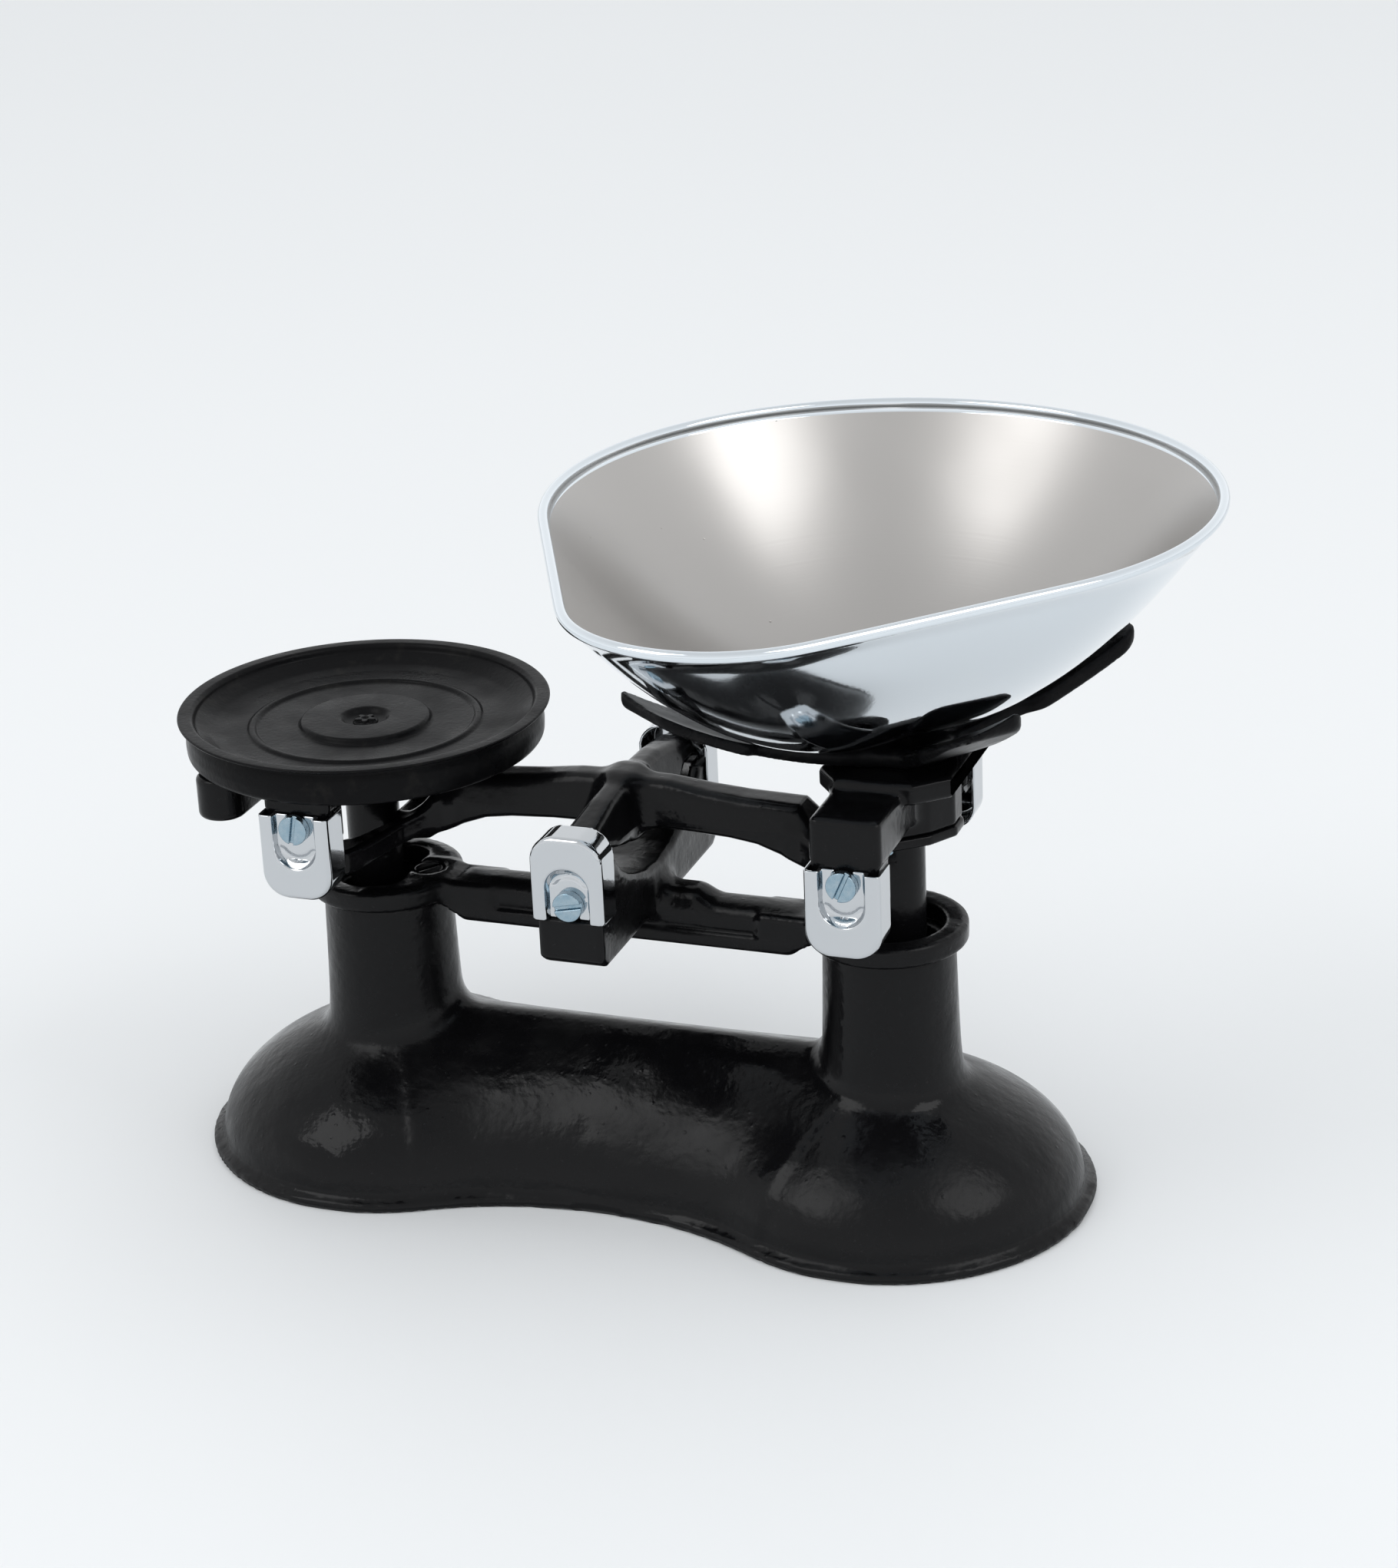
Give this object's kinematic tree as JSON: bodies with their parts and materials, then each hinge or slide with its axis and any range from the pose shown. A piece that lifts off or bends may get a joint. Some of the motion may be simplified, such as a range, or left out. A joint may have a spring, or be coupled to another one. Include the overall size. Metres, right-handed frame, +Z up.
{
  "type": "counter balance with weight plate and scoop",
  "caption": "Black cast-iron equal-arm counter balance with a weight plate, chrome knife covers and a lift-off chrome pouring scoop.",
  "frame": {"origin": "centre of the base's footprint, on the surface it stands on", "axes": "+X along the beam from the weight plate to the scoop, -Y towards the front, +Z up"},
  "size_m": [0.3037, 0.2249, 0.2069],
  "materials": {
    "enamel": "gloss stoved black enamel over cast iron",
    "satin": "satin black enamel",
    "chrome": "polished chrome plate with fine wear",
    "zinc": "zinc plated screw",
    "steel": "ground tool steel",
    "weight_metal": "dull as cast"
  },
  "bodies": {
    "base": {"base_casting": "enamel", "bridge_casting": "enamel", "bridge_screws": "zinc", "centre_bearing_front": "steel", "centre_bearing_rear": "steel", "centre_cap_front": "chrome", "centre_cap_rear": "chrome", "centre_cap_screws": "zinc", "stay_pivot_pin": "steel"},
    "beam": {"beam_casting": "enamel", "centre_knife_front": "steel", "centre_knife_rear": "steel", "left_knife_front": "steel", "left_knife_rear": "steel", "right_knife_front": "steel", "right_knife_rear": "steel"},
    "left_pan": {"left_carrier": "enamel", "left_stem": "enamel", "left_bearing_front": "steel", "left_bearing_rear": "steel", "left_cap_front": "chrome", "left_cap_rear": "chrome", "left_cap_screws": "zinc", "left_stay_pin": "steel", "weight_plate": "satin", "plate_rivet": "satin", "tare_lead": "weight_metal"},
    "right_pan": {"right_carrier": "enamel", "right_stem": "enamel", "right_bearing_front": "steel", "right_bearing_rear": "steel", "right_cap_front": "chrome", "right_cap_rear": "chrome", "right_cap_screws": "zinc", "right_stay_pin": "steel", "box_lid": "enamel", "lid_screws": "zinc", "balance_lead": "weight_metal", "spider": "satin", "spider_screws": "satin"},
    "stay": {"stay_link": "steel"},
    "scoop": {"scoop": "chrome"}
  },
  "joints": [
    {"name": "beam_tilt", "type": "hinge", "parent": "base", "child": "beam", "pos_m": [0, 0, 0.108], "axis": [0, 1, 0], "range_deg": [-5, 5]},
    {"name": "left_pan_level", "type": "hinge", "parent": "beam", "child": "left_pan", "pos_m": [-0.08, 0, 0.108], "axis": [0, 1, 0], "range_deg": [-5, 5]},
    {"name": "right_pan_level", "type": "hinge", "parent": "beam", "child": "right_pan", "pos_m": [0.08, 0, 0.108], "axis": [0, 1, 0], "range_deg": [-5, 5]},
    {"name": "stay_tilt", "type": "hinge", "parent": "base", "child": "stay", "pos_m": [0, 0, 0.022], "axis": [0, 1, 0], "range_deg": [-5, 5]},
    {"name": "scoop_lift", "type": "slide", "parent": "right_pan", "child": "scoop", "axis": [0, 0, 1], "range_m": [0, 0.08]}
  ],
  "couplings": [
    {"joint": "left_pan_level", "follows": "beam_tilt", "ratio": -1},
    {"joint": "right_pan_level", "follows": "beam_tilt", "ratio": -1},
    {"joint": "stay_tilt", "follows": "beam_tilt", "ratio": 1}
  ]
}
